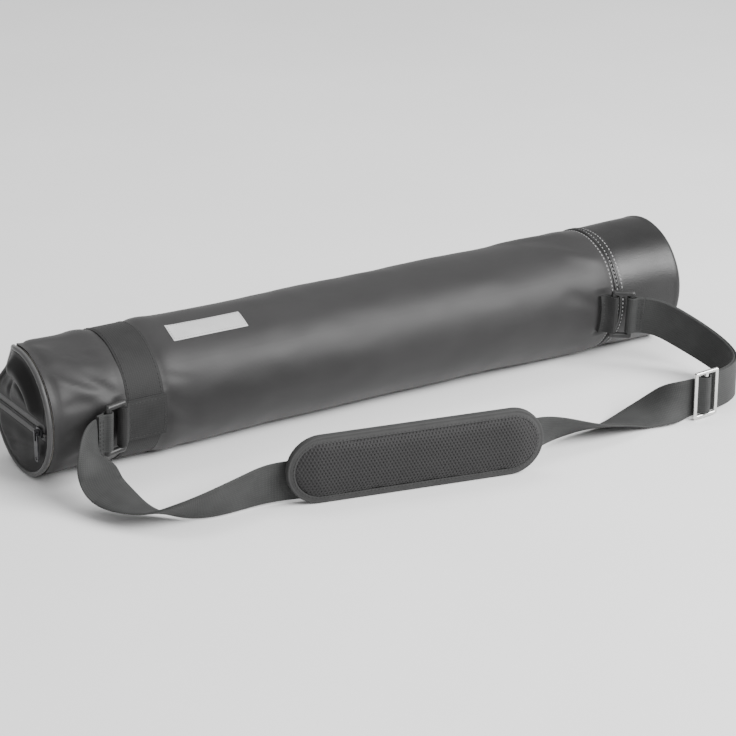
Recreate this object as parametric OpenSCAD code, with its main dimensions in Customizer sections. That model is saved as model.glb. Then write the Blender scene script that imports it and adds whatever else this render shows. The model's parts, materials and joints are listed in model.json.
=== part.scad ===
// Padded round carrying bag with a shoulder strap.
// +X runs along the tube from the zipped end to the leatherette base end,
// -Y is the front, +Z is up. The origin is in the middle of the flat underside.

/* [Tube] */
// Length of the bag over its end seams
bag_len = 710; // [620:5:760]
// Outside diameter of the padded tube
bag_d = 122; // [118:1:126]
// How much the tube's own weight flattens its underside
rest_flat = 0.5; // [0.3:0.1:0.7]
// Thickness of the woven outer skin
skin_t = 1.5; // [1.2:0.1:1.8]
// Thickness of the foam padding
foam_t = 5; // [3:0.5:8]
// Thickness of the lining
lining_t = 0.6; // [0.4:0.1:1]
// Length of the leatherette sleeve at the base end
sleeve_len = 75; // [60:1:90]

/* [Opening] */
// Height of the zip above the ground
zip_z = 56; // [54:1:58]
// Angle above the horizontal of the line that the flap folds along
fold_angle = 35; // [32:1:38]
// Width of one zip tape
tape_w = 8; // [6:1:10]
// Width of one row of zip teeth
teeth_w = 1.9; // [1.5:0.1:2.3]
// Diameter of the corded piping around the zipped end
piping_d = 5; // [4:0.5:6]

/* [Webbing and rings] */
// Width of the webbing
web_w = 38; // [38:1:40]
// Thickness of the webbing
web_t = 2; // [1.6:0.1:2]
// Where the webbing band starts, from the middle of the bag
band_x = -276; // [-280:1:-270]
// Thickness of a ring's bars
ring_bar = 6; // [5:0.5:6]
// Distance between a ring's two long bars
ring_gap = 18; // [17:1:20]
// How far the left ring leans away from the tube
left_lean = 14; // [10:1:18]
// How far the right ring leans away from the tube
right_lean = 30; // [26:1:34]
// Angle of both rings above the horizontal at the front
ring_angle = -5; // [-8:1:-2]

/* [Shoulder pad] */
// Length of the pad
pad_len = 247; // [225:1:255]
// Height of the pad on its edge
pad_h = 64; // [58:1:68]
// Thickness of the pad
pad_t = 11; // [9:0.5:12]
// Width of the binding around the pad
binding_w = 7; // [5:1:9]

/* [Hidden] */

$fn = 96;
eps = 0.01;
gap = 0.3;                          // clearance between pieces that move past each other
R = bag_d / 2;
axis_z = R - rest_flat;             // height of the tube's axis
left_x = -bag_len / 2;
right_x = bag_len / 2;
seam_x = right_x - sleeve_len;      // right edge of the double seam
seam_w = 8;
skin_left = left_x + piping_d + 1;
skin_in = R - skin_t;
foam_in = skin_in - foam_t;
lining_in = foam_in - lining_t;
panel_r = R - piping_d;             // radius of the zipped end panel
base_t = 8;                         // leatherette disc, board and foam at the base end
zip_angle = 180 - asin((zip_z - axis_z) / R);
split = gap / 2;                    // half of the gap between the two halves
split_a = split / R * 180 / PI;
tape_a = tape_w / R * 180 / PI;
teeth_a = teeth_w / R * 180 / PI;
teeth_h = 1.4;
tape_t = 0.8;

// A point at radius r, angle a above the front horizontal
function at(x, r, a) = [x, -r * cos(a), axis_z + r * sin(a)];

// Part of a tube wall between two angles
module wall(r_out, r_in, a0, a1, x0, x1) {
  translate([x0, 0, axis_z])
    rotate([0, 90, 0])
      rotate([0, 0, -90 - a1])
        rotate_extrude(angle = a1 - a0)
          translate([r_in, 0])
            square([r_out - r_in, x1 - x0]);
}

// Everything above the surface that the bag lies on
module above_ground() {
  intersection() {
    children();
    translate([left_x - 50, -2 * R, 0]) cube([bag_len + 100, 4 * R, 4 * R]);
  }
}

// ---------- tube walls ----------
// First and last angle of the lower half, and of the flap
low_a = [zip_angle - 360 + split_a, fold_angle];
up_a = [fold_angle + 2 * split_a, zip_angle - split_a];
band_in = R - 1;
band_out = R + 1;
strip_x = -213;
strip_len = 78;
strip_a = [56, 76];

module lower_skin() {
  color("#4c484b") above_ground() difference() {
    wall(R, skin_in, low_a[0] + tape_a, low_a[1], skin_left, seam_x - seam_w);
    wall(R + 5, band_in, -180, 60, band_x, band_x + web_w);
  }
}

module lower_foam() {
  color("#d8d4cc")
    wall(skin_in, foam_in, low_a[0], low_a[1], skin_left, right_x - base_t);
}

module lower_lining() {
  color("#262626")
    wall(foam_in, lining_in, low_a[0], low_a[1], skin_left, right_x - base_t);
}

module upper_skin() {
  color("#4c484b") difference() {
    wall(R, skin_in, up_a[0], up_a[1] - tape_a, skin_left, seam_x - seam_w - gap);
    wall(R + 5, band_in, 0, 200, band_x, band_x + web_w);
  }
}

module upper_foam() {
  color("#d8d4cc") wall(skin_in, foam_in, up_a[0], up_a[1], skin_left, seam_x - seam_w - gap);
}

module upper_lining() {
  color("#262626") wall(foam_in, lining_in, up_a[0], up_a[1], skin_left, seam_x - seam_w - gap);
}

// A blank woven strip where a label would be
module name_strip() {
  color("#c9c9c6") wall(R + 0.4, R, strip_a[0], strip_a[1], strip_x, strip_x + strip_len);
}

// ---------- zipped end ----------
panel_x = left_x + 1;
panel_t = 1.5;
end_foam_t = 5;
fold_y = -(band_out + gap) * cos(fold_angle);

// The disc of the end below the zip and in front of the flap's fold line.
// tape is how much of it the zip tape replaces.
module lower_end(r, x, t, tape) {
  difference() {
    translate([x, 0, axis_z]) rotate([0, 90, 0]) cylinder(r = r, h = t);
    translate([x - 1, fold_y, zip_z - max(tape, split)]) cube([t + 2, 2 * R, 2 * R]);
    if (tape > 0)
      translate([x - 1, -end_zip_y, zip_z - tape]) cube([t + 2, end_zip_y + fold_y + eps, 2 * tape]);
  }
}

// The disc of the end above the zip and behind the fold line, which opens with the flap
module upper_end(r, x, t, tape) {
  intersection() {
    translate([x, 0, axis_z]) rotate([0, 90, 0]) cylinder(r = r, h = t);
    translate([x - 1, fold_y + gap, zip_z + max(tape, split)]) cube([t + 2, 2 * R, 2 * R]);
  }
}

module lower_end_panel() {
  color("#413e40") lower_end(panel_r, panel_x, panel_t, tape_w);
}

module lower_end_foam() {
  color("#d8d4cc") lower_end(lining_in - gap, panel_x + panel_t, end_foam_t, 0);
}

module upper_end_panel() {
  color("#4c484b") upper_end(panel_r, panel_x, panel_t, tape_w);
}

module upper_end_foam() {
  color("#d8d4cc") upper_end(lining_in - gap, panel_x + panel_t, end_foam_t, 0);
}

// Corded edge around the zipped end
module piping(a0, a1) {
  translate([left_x + piping_d / 2, 0, axis_z])
    rotate([0, 90, 0])
      rotate([0, 0, -90 - a1])
        rotate_extrude(angle = a1 - a0)
          translate([R - piping_d / 2, 0]) circle(d = piping_d, $fn = 24);
}

module lower_piping() {
  color("#3a3739") above_ground() piping(low_a[0] + 1, low_a[1]);
}

module upper_piping() {
  color("#3a3739") piping(up_a[0], up_a[1] - 1);
}

// ---------- zip ----------
tape_x = panel_x + 0.2;
end_zip_y = 54;                     // half length of the zip across the end

// One half of the zip across the end: a band from z0 to z1
module end_band(x, t, z0, z1, y0) {
  translate([x, y0, min(z0, z1)]) cube([t, end_zip_y - y0, abs(z1 - z0)]);
}

module lower_zip_tape() {
  color("#2b2b2b") {
    wall(R, R - tape_t, low_a[0], low_a[0] + tape_a, skin_left, seam_x - seam_w);
    end_band(tape_x, tape_t, zip_z - tape_w, zip_z - split, -end_zip_y);
  }
}

module lower_zip_teeth() {
  color("#1c1c1c") {
    wall(R + teeth_h, R, low_a[0], low_a[0] + teeth_a, skin_left, seam_x - seam_w - 6);
    end_band(tape_x - teeth_h, teeth_h, zip_z - teeth_w, zip_z - split, -end_zip_y + 4);
  }
}

module upper_zip_tape() {
  color("#2b2b2b") {
    wall(R, R - tape_t, up_a[1] - tape_a, up_a[1], skin_left, seam_x - seam_w - gap);
    end_band(tape_x, tape_t, zip_z + tape_w, zip_z + split, fold_y + gap);
  }
}

module upper_zip_teeth() {
  color("#1c1c1c") {
    wall(R + teeth_h, R, up_a[1] - teeth_a, up_a[1], skin_left, seam_x - seam_w - 6);
    end_band(tape_x - teeth_h, teeth_h, zip_z + teeth_w, zip_z + split, fold_y + gap);
  }
}

// Metal clips that stop the slider at both ends of the row
module zip_stops() {
  color("#8a8a8a") {
    wall(R + teeth_h + 0.4, R, low_a[0], low_a[0] + teeth_a, seam_x - seam_w - 6, seam_x - seam_w - 2);
    translate([tape_x - teeth_h - 0.4, -end_zip_y + 1, zip_z - teeth_w])
      cube([teeth_h + 0.4, 3, teeth_w - split]);
  }
}

slider_y = -44;
slider_x = tape_x - teeth_h - gap;  // back face of the slider
plate_t = 1.6;
lug_d = 4;
lug_x = slider_x - plate_t - lug_d / 2 - 0.6;
puller_t = 1.4;
puller_len = 28;
puller_w = 7;

// Slider plate with flanges and the bridge that holds the puller
module zip_slider() {
  color("#2e2e30") {
    translate([slider_x - plate_t, slider_y - 5, zip_z - 4]) cube([plate_t, 10, 8]);
    for (side = [-1, 1])
      translate([slider_x - plate_t, slider_y - 4, zip_z + side * 4 - 0.5]) cube([plate_t + 1, 8, 1]);
    difference() {
      translate([lug_x - lug_d / 2, slider_y - 1, zip_z - 3])
        cube([slider_x - plate_t - lug_x + lug_d / 2, 2, 6]);
      translate([lug_x, slider_y - 2, zip_z]) rotate([-90, 0, 0]) cylinder(d = 2.4, h = 4, $fn = 32);
    }
  }
}

// Pull tab hanging from the slider's bridge
module zip_puller() {
  color("#39393b") {
    translate([lug_x, slider_y - puller_w / 2, zip_z]) rotate([-90, 0, 0])
      cylinder(d = 1.6, h = puller_w, $fn = 32);
    for (side = [-1, 1])
      translate([lug_x - puller_t / 2, slider_y + side * (puller_w / 2 - 0.9) - 0.9, zip_z - 8])
        cube([puller_t, 1.8, 8]);
    difference() {
      translate([lug_x - puller_t / 2, slider_y, zip_z - 8]) rotate([0, 90, 0])
        linear_extrude(puller_t) {
          translate([0, -puller_w / 2]) square([puller_len - 8 - puller_w / 2, puller_w]);
          translate([puller_len - 8 - puller_w / 2, 0]) circle(d = puller_w, $fn = 32);
        }
      translate([lug_x - 2, slider_y, zip_z - puller_len + puller_w / 2]) rotate([0, 90, 0])
        cylinder(d = 3.4, h = 4, $fn = 32);
    }
  }
}

// ---------- leatherette base end ----------
module base_sleeve() {
  color("#2f2d2e") above_ground() wall(R, skin_in, 0, 360, seam_x, right_x);
}

// Foam of the base end above the fold line, which never opens
module base_sleeve_foam() {
  color("#d8d4cc")
    wall(skin_in, foam_in, up_a[0], 360 + low_a[0], seam_x - seam_w, right_x - base_t);
}

module base_lining() {
  color("#262626")
    wall(foam_in, lining_in, up_a[0], 360 + low_a[0], seam_x - seam_w, right_x - base_t);
}

module base_disc() {
  color("#2a2829")
    translate([right_x - 2, 0, axis_z]) rotate([0, 90, 0]) cylinder(r = skin_in, h = 2);
}

module base_board() {
  color("#9c8f78")
    translate([right_x - base_t, 0, axis_z]) rotate([0, 90, 0]) cylinder(r = skin_in, h = base_t - 2);
}

// Double stitched seam between the tube's skin and the sleeve
module seam_welt() {
  ridge = (seam_w - 1) / 2;
  color("#343233") above_ground() {
    wall(R, skin_in, 0, 360, seam_x - seam_w, seam_x);
    for (x = [seam_x - seam_w, seam_x - ridge])
      wall(R + 0.8, R - eps, 0, 360, x, x + ridge);
  }
}

// ---------- band and tabs ----------
module lower_band() {
  color("#4a4a48") above_ground()
    wall(band_out, band_in, low_a[0] + tape_a, low_a[1], band_x, band_x + web_w);
}

module upper_band() {
  color("#4a4a48") wall(band_out, band_in, up_a[0], up_a[1] - tape_a, band_x, band_x + web_w);
}

bar_r = 67;                         // distance of a ring's inner bar from the tube's axis
left_bar_x = -284;
right_bar_x = 265;
bore_r = ring_bar / 2 + gap;        // loose loop that the bar turns in
tab_a = web_w / R * 90 / PI;        // half of the angle that a tab covers

// Places children at a ring's inner bar: their z along the bar, x away from the tab
module at_bar(x, side, lean) {
  translate(at(x, bar_r, ring_angle))
    rotate([-ring_angle, 0, 0])
      mirror([side < 0 ? 1 : 0, 0, 0])
        rotate([0, 0, -lean])
          children();
}

// Webbing loop that holds a ring's inner bar, sewn flat to the tube from x0 to x1
module tab(x, side, r0, x0, x1) {
  difference() {
    union() {
      wall(r0 + 3.2, r0, ring_angle - tab_a, ring_angle + tab_a, x0, x1);
      at_bar(x, side, 0) cylinder(r = bore_r + web_t - 0.4, h = web_w, center = true);
    }
    at_bar(x, side, 0) cylinder(r = bore_r, h = 2 * web_w, center = true);
  }
}

module left_tab() {
  color("#474745") tab(left_bar_x, -1, band_out, left_bar_x + 1, band_x + web_w);
}

module right_tab() {
  color("#474745") tab(right_bar_x, 1, R, right_bar_x - 12, seam_x - seam_w);
}

// Rectangular plastic ring around the bar at the origin
module ring() {
  reach = web_w + ring_bar + 2;
  for (x = [0, ring_gap])
    translate([x, 0, 0]) cylinder(d = ring_bar, h = reach, center = true);
  for (z = [-reach / 2, reach / 2])
    translate([0, 0, z]) rotate([0, 90, 0]) cylinder(d = ring_bar, h = ring_gap);
  for (x = [0, ring_gap], z = [-reach / 2, reach / 2])
    translate([x, 0, z]) sphere(d = ring_bar);
}

loop_len = 12;                      // sewn length of the strap beyond a ring
loop_t = 2 * web_t + 0.6;           // thickness of the two layers sewn together

// Strap end wrapped around a ring's outer bar
module strap_loop() {
  difference() {
    union() {
      translate([ring_gap, 0, 0]) cylinder(r = ring_bar / 2 + web_t, h = web_w, center = true);
      translate([ring_gap, -loop_t / 2, -web_w / 2]) cube([loop_len, loop_t, web_w]);
    }
    translate([ring_gap, 0, 0]) cylinder(d = ring_bar, h = 2 * web_w, center = true);
  }
}

module left_ring() {
  color("#1f1f20") at_bar(left_bar_x, -1, left_lean) ring();
}

module right_ring() {
  color("#1f1f20") at_bar(right_bar_x, 1, right_lean) ring();
}

module left_strap_loop() {
  color("#565755") at_bar(left_bar_x, -1, left_lean) strap_loop();
}

module right_strap_loop() {
  color("#565755") at_bar(right_bar_x, 1, right_lean) strap_loop();
}

// ---------- strap ----------
// Route of the strap's middle line, and how far its upper edge at the left ring
// leans to the left of the direction of travel: [x, y, z, lean]
ROUTE = [
  [-313.6, -74.1, 54, 5], [-317.4, -75, 53.9, 5], [-324.5, -81, 50.5, -17], [-326, -91, 44, -50],
  [-327, -100, 34, -86], [-331, -111.5, 24.5, -108], [-326.5, -128, 18.5, -106],
  [-318, -148, 13, -83], [-303, -166.5, 10, -68], [-284.5, -183, 15.5, -44],
  [-258.5, -188.5, 19, -24], [-228, -185.5, 20.5, -12], [-198, -182.5, 21.5, -2],
  [-152.5, -193.5, 21, 0], [20, -229.5, 21, 0], [59.5, -216.5, 21.5, -9], [96.5, -210, 17, -38],
  [132.5, -210, 11, -63], [164, -208.5, 6.5, -75], [187.5, -203, 4.5, -93],
  [204.5, -205.5, 9.5, -113], [218, -214.5, 17, -142], [234, -222, 22, -180], [258, -220, 22, -180],
  [282, -218, 22, -180], [306, -209, 22, -180], [324, -191, 22, -180], [332, -165, 25, -180],
  [329, -137, 32, -180], [318, -112, 42, -180], [306, -93.5, 51, -178], [298.6, -85.2, 53, -177],
  [292.2, -81, 53.4, -175.8]];
RETURN_FROM = 23;                   // first point of the route where the strap is double

function unit(v) = v / norm(v);
function last(list) = len(list) - 1;
function xyz(p) = [p[0], p[1], p[2]];
// Direction of travel at point i
function along(pts, i) = unit(xyz(pts[min(i + 1, last(pts))]) - xyz(pts[max(i - 1, 0)]));
function upright(t) = unit([0, 0, 1] - t[2] * t);
function edge_dir(pts, i) = let (t = along(pts, i), u = upright(t))
  cos(pts[i][3]) * u + sin(pts[i][3]) * cross(u, t);
function face_dir(pts, i) = cross(edge_dir(pts, i), along(pts, i));
// Points halfway between the route's points, on a smooth curve
function mid(a, b, c, d) = (9 * (b + c) - a - d) / 16;
long_step = 45;                     // webbing is straight over any longer step
function step(pts, i) = norm(xyz(pts[i + 1]) - xyz(pts[i]));
function curved(pts, i) = i > 0 && i < last(pts) - 1
  && max([for (k = [i - 1 : i + 1]) step(pts, k)]) < long_step;
function denser(pts) = [for (i = [0 : last(pts)]) each
  curved(pts, i) ? [pts[i], mid(pts[i - 1], pts[i], pts[i + 1], pts[i + 2])] : [pts[i]]];
// Rectangle of webbing at point i, moved sideways by off
function section(pts, i, off) = let (c = xyz(pts[i]), w = edge_dir(pts, i) * web_w / 2,
  n = face_dir(pts, i)) [for (s = [[1, 1], [1, -1], [-1, -1], [-1, 1]])
    c + s[0] * w + n * (off + s[1] * web_t / 2)];

// Flat webbing swept along points
module webbing(pts, off) {
  count = len(pts);
  corners = [for (i = [0 : count - 1]) each section(pts, i, off)];
  sides = [for (i = [0 : count - 2], k = [0 : 3]) let (a = 4 * i + k, b = 4 * i + (k + 1) % 4)
    each k < 3 ? [[a, b, b + 4], [a, b + 4, a + 4]] : [[a, b, a + 4], [b, b + 4, a + 4]]];
  polyhedron(corners, concat(sides, [[3, 2, 1, 0], [for (k = [0 : 3]) 4 * count - 4 + k]]));
}

module strap() {
  color("#5a5b58") webbing(denser(ROUTE), 0);
}

// Second layer, from the slide to the right ring and back
module strap_return() {
  color("#5f605d") webbing([for (i = [RETURN_FROM : last(ROUTE)]) ROUTE[i]], -web_t - 0.6);
}

// ---------- strap slide ----------
slide_at = [258, -220, 22];
slide_turn = atan2(4, 48);          // direction of the strap where the slide is
slide_bar = 4;
slide_h = 44;
slide_w = 26;
slide_off = -5.2;                   // its middle plane, in front of the strap
slide_lift = 2.5;

module at_slide() {
  translate(slide_at) rotate([0, 0, slide_turn]) translate([0, slide_off, slide_lift]) children();
}

// Wire frame with a middle bar
module strap_slide() {
  color("#d9d9d6") at_slide() {
    for (x = [-slide_w / 2, 0, slide_w / 2])
      translate([x, 0, 0]) cylinder(d = slide_bar, h = slide_h, center = true);
    for (z = [-slide_h / 2, slide_h / 2])
      translate([-slide_w / 2, 0, z]) rotate([0, 90, 0]) cylinder(d = slide_bar, h = slide_w);
    for (x = [-slide_w / 2, slide_w / 2], z = [-slide_h / 2, slide_h / 2])
      translate([x, 0, z]) sphere(d = slide_bar);
  }
}

// Strap end sewn around the middle bar
module slide_loop() {
  color("#5f605d") at_slide() difference() {
    cylinder(r = slide_bar / 2 + 1.6, h = web_w, center = true);
    cylinder(d = slide_bar, h = 2 * web_w, center = true);
  }
}

// ---------- shoulder pad ----------
pad_at = [-66, -211.5, 0];
pad_turn = atan2(-36, 172.5);        // direction of the strap behind the pad
pad_clear = web_t / 2 + 0.6;        // front face of the strap to the back of the pad
cover_t = 1;
binding_proud = 0.4;                // how far the binding stands out of each face
keeper_w = 20;
keeper_x = 60;
keeper_z = 0.5;

module at_pad() {
  translate(pad_at) rotate([0, 0, pad_turn]) children();
}

// Slab with round ends, standing on its long edge, from depth y0 towards the front
module pad_slab(margin, y0, t) {
  h = pad_h - 2 * margin;
  reach = (pad_len - pad_h) / 2;
  translate([0, -y0, pad_h / 2]) rotate([90, 0, 0]) linear_extrude(t) {
    for (x = [-reach, reach])
      translate([x, 0]) circle(d = h);
    square([2 * reach, h], center = true);
  }
}

module pad_backing() {
  color("#333333") at_pad() pad_slab(1.2, pad_clear, cover_t);
}

module pad_foam() {
  color("#d8d4cc") at_pad() pad_slab(2, pad_clear + cover_t, pad_t - 2 * cover_t);
}

module pad_mesh() {
  color("#3d3b3e") at_pad() pad_slab(1.2, pad_clear + pad_t - cover_t, cover_t);
}

// Folded tape over the pad's edge
module pad_binding() {
  color("#4f4f4e") at_pad() difference() {
    pad_slab(0, pad_clear - binding_proud, pad_t + 2 * binding_proud);
    pad_slab(binding_w, 0, pad_t + 5);
    pad_slab(1.2, pad_clear, pad_t);
  }
}

// Webbing keepers that hold the strap behind the pad
module pad_keepers() {
  depth = 2 * pad_clear;
  color("#474745") at_pad() for (x = [-keeper_x, keeper_x])
    translate([x - keeper_w / 2, -pad_clear, keeper_z]) difference() {
      cube([keeper_w, depth + 1, web_w + 5]);
      translate([-1, -1, 1]) cube([keeper_w + 2, depth + 1, web_w + 3]);
      translate([-1, -1, -keeper_z]) cube([keeper_w + 2, 1 + binding_proud + eps, binding_w]);
    }
}

lower_skin();
lower_foam();
lower_lining();
lower_end_panel();
lower_end_foam();
lower_piping();
base_sleeve();
base_sleeve_foam();
base_disc();
base_board();
base_lining();
seam_welt();
lower_band();
left_tab();
right_tab();
lower_zip_tape();
lower_zip_teeth();
zip_stops();
upper_skin();
upper_foam();
upper_lining();
upper_end_panel();
upper_end_foam();
upper_piping();
upper_band();
upper_zip_tape();
upper_zip_teeth();
name_strip();
zip_slider();
zip_puller();
left_ring();
left_strap_loop();
right_ring();
right_strap_loop();
strap();
strap_return();
strap_slide();
slide_loop();
pad_foam();
pad_mesh();
pad_backing();
pad_binding();
pad_keepers();
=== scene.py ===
import json
import math
import bmesh
import bpy
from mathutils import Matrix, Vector, noise
from mathutils.bvhtree import BVHTree

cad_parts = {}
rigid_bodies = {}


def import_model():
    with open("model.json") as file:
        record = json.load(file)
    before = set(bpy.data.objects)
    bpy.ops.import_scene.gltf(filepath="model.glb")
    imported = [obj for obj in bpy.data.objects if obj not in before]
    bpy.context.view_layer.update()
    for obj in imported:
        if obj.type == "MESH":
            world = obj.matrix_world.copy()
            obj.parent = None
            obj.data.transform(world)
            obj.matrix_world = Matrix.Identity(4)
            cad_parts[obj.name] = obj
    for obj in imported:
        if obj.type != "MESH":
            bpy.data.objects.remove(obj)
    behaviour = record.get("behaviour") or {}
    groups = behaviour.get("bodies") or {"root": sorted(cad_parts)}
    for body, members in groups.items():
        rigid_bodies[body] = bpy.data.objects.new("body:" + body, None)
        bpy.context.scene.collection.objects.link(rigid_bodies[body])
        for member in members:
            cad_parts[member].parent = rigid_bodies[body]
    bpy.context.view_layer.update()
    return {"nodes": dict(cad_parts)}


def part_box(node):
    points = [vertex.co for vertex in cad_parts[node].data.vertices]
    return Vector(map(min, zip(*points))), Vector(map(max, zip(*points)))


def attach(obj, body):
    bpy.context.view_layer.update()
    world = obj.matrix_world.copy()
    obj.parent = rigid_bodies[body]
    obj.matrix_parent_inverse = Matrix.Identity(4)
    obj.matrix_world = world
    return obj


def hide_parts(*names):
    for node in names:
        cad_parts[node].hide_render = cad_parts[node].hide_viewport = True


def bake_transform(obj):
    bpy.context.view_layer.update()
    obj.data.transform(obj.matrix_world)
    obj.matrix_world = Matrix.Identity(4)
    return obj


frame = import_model()

MM = 0.001
SLEEVE_LO, SLEEVE_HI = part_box("base_sleeve")
SKIN_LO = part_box("lower_skin")[0]
BAND_LO, BAND_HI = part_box("lower_band")
WELT_LO, WELT_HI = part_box("seam_welt")
R = (SLEEVE_HI.y - SLEEVE_LO.y) / 2
AXIS_Z = SLEEVE_HI.z - R
ZIP_Z = 56 * MM
ZIP_A = math.pi - math.asin((ZIP_Z - AXIS_Z) / R)
FOLD_A = math.radians(35)
TAPE_A = 8 * MM / R
WEB_W = 38 * MM
WEB_T = 1.8 * MM


def smooth(t):
    t = max(0.0, min(1.0, t))
    return t * t * (3 - 2 * t)


def at(x, r, a):
    """Point at radius r and angle a above the front horizontal."""
    return Vector((x, -r * math.cos(a), AXIS_Z + r * math.sin(a)))


def out(a):
    return Vector((0, -math.cos(a), math.sin(a)))


# ---------- camera ----------
def make_camera():
    data = bpy.data.cameras.new("camera")
    data.lens, data.sensor_width = 129.8, 36
    cam = bpy.data.objects.new("camera", data)
    bpy.context.scene.collection.objects.link(cam)
    az, el = math.radians(-31.95), math.radians(21.35)
    back = Vector((math.sin(az) * math.cos(el), -math.cos(az) * math.cos(el), math.sin(el)))
    cam.location = Vector((0.01745, 0, 0.02573)) + back * 2.602
    cam.rotation_euler = back.to_track_quat("Z", "Y").to_euler()
    bpy.context.scene.camera = cam


# ---------- node materials ----------
class Shade:
    """Small helper that builds one node material."""

    def __init__(self, name, **fixed):
        self.mat = bpy.data.materials.new(name)
        self.mat.use_nodes = True
        self.tree = self.mat.node_tree
        self.bsdf = self.tree.nodes["Principled BSDF"]
        for key, value in fixed.items():
            self.bsdf.inputs[key.replace("_", " ")].default_value = value

    def node(self, kind, out_name=0, settings=None, **inputs):
        n = self.tree.nodes.new("ShaderNode" + kind)
        for key, value in (settings or {}).items():
            setattr(n, key, value)
        for key, value in inputs.items():
            slot = n.inputs[int(key[1:])] if key[0] == "i" and key[1:].isdigit() else n.inputs[key]
            if isinstance(value, bpy.types.NodeSocket):
                self.tree.links.new(value, slot)
            else:
                slot.default_value = value
        return n.outputs[out_name]

    def math(self, op, a, b=0.0):
        return self.node("Math", settings={"operation": op}, i0=a, i1=b)

    def objects(self):
        return self.node("TexCoord", "Object")

    def split(self, vector):
        n = self.tree.nodes.new("ShaderNodeSeparateXYZ")
        self.tree.links.new(vector, n.inputs[0])
        return n.outputs

    def mix(self, *terms):
        """Sum of (socket, weight) pairs."""
        total = None
        for socket, weight in terms:
            part = socket if weight == 1 else self.math("MULTIPLY", socket, weight)
            total = self.math("ADD", total, part) if total else part
        return total

    def noise(self, vector, scale, detail=3.0):
        return self.node("TexNoise", "Fac", Vector=vector, Scale=scale, Detail=detail)

    def wave(self, coord, pitch):
        """0..1 ribs with the given pitch along a coordinate."""
        s = self.math("SINE", self.math("MULTIPLY", coord, 2 * math.pi / pitch))
        return self.math("ADD", self.math("MULTIPLY", s, 0.5), 0.5)

    def ramp(self, fac, dark, light, lo=0.3, hi=0.7):
        n = self.tree.nodes.new("ShaderNodeValToRGB")
        n.color_ramp.elements[0].position, n.color_ramp.elements[1].position = lo, hi
        n.color_ramp.elements[0].color = (*dark, 1)
        n.color_ramp.elements[1].color = (*light, 1)
        self.tree.links.new(fac, n.inputs[0])
        return n.outputs[0]

    def colour(self, socket):
        self.tree.links.new(socket, self.bsdf.inputs["Base Color"])

    def rough(self, fac, lo, hi):
        r = self.node("MapRange", i0=fac, i1=0.0, i2=1.0, i3=lo, i4=hi)
        self.tree.links.new(r, self.bsdf.inputs["Roughness"])

    def bump(self, height, strength, distance):
        b = self.node("Bump", Height=height, Strength=strength, Distance=distance)
        self.tree.links.new(b, self.bsdf.inputs["Normal"])


def grey(v, warm=0.0):
    return (v * (1 + warm), v, v * (1 + warm * 0.6))


def woven(name, dark, light, pitch, weave, rough=(0.5, 0.7), coords="object", sheen=0.2, spec=0.5):
    """Cloth with threads both ways, pitch mm apart; coords is object, end, tube or strip."""
    s = Shade(name, Sheen_Weight=sheen, Sheen_Roughness=0.5, Specular_IOR_Level=spec)
    strip = coords == "strip"
    vec = s.node("UVMap", settings={"uv_map": "cloth"}) if strip else s.objects()
    parts = s.split(vec)
    a, b = parts[1 if coords == "end" else 0], parts[1 if strip else 2]
    if coords == "tube":
        up = s.math("SUBTRACT", parts[2], AXIS_Z)
        b = s.math("MULTIPLY", s.math("ARCTAN2", up, parts[1]), R)
    thread = s.math("MULTIPLY", s.wave(a, pitch[0] * MM), s.wave(b, pitch[1] * MM))
    patch = s.noise(vec, 60.0 if strip else 22.0, 4.0)
    fibre = s.noise(vec, 2600.0, 2.0)
    s.colour(s.ramp(s.mix((patch, 0.55), (thread, 0.25), (fibre, 0.2)), dark, light, 0.2, 0.85))
    s.rough(patch, *rough)
    s.bump(s.mix((thread, 1), (fibre, 0.35)), weave, 0.0003)
    return s.mat


def leatherette():
    s = Shade("leatherette_mat", Specular_IOR_Level=0.42, Coat_Weight=0.10, Coat_Roughness=0.3)
    vec = s.objects()
    cells = s.node("TexVoronoi", "Distance", settings={"feature": "F1"}, Vector=vec, Scale=780.0)
    fold = s.noise(vec, 60.0, 5.0)
    tiny = s.noise(vec, 1900.0, 2.0)
    s.colour(s.ramp(s.mix((cells, 0.5), (fold, 0.5)), grey(0.003, 0.03), grey(0.008, 0.02), 0.2, 0.8))
    s.rough(fold, 0.34, 0.50)
    s.bump(s.mix((cells, 0.9), (fold, 1.2), (tiny, 0.2)), 0.35, 0.0004)
    return s.mat


def metal(name, dark, light, rough, scratch=0.12):
    s = Shade(name, Metallic=1.0)
    vec = s.objects()
    stretched = s.node("Mapping", Vector=vec, Scale=(40.0, 40.0, 900.0))
    lines = s.noise(stretched, 2.0, 4.0)
    patch = s.noise(vec, 180.0, 3.0)
    s.colour(s.ramp(s.mix((patch, 0.7), (lines, 0.3)), dark, light, 0.3, 0.7))
    s.rough(patch, *rough)
    s.bump(lines, scratch, 0.0001)
    return s.mat


def plastic(name, dark, light, rough):
    s = Shade(name, Specular_IOR_Level=0.5)
    vec = s.objects()
    patch = s.noise(vec, 90.0, 4.0)
    grain = s.noise(vec, 2200.0, 2.0)
    s.colour(s.ramp(patch, dark, light, 0.3, 0.7))
    s.rough(patch, *rough)
    s.bump(s.mix((grain, 1), (patch, 0.4)), 0.15, 0.0002)
    return s.mat


def foam_material():
    s = Shade("foam_mat", Specular_IOR_Level=0.2)
    vec = s.objects()
    cells = s.node("TexVoronoi", "Distance", Vector=vec, Scale=900.0)
    patch = s.noise(vec, 50.0, 3.0)
    s.colour(s.ramp(s.mix((cells, 0.5), (patch, 0.5)), (0.30, 0.29, 0.27), (0.55, 0.53, 0.49), 0.2, 0.8))
    s.rough(patch, 0.8, 0.95)
    s.bump(cells, 0.5, 0.0006)
    return s.mat


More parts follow.
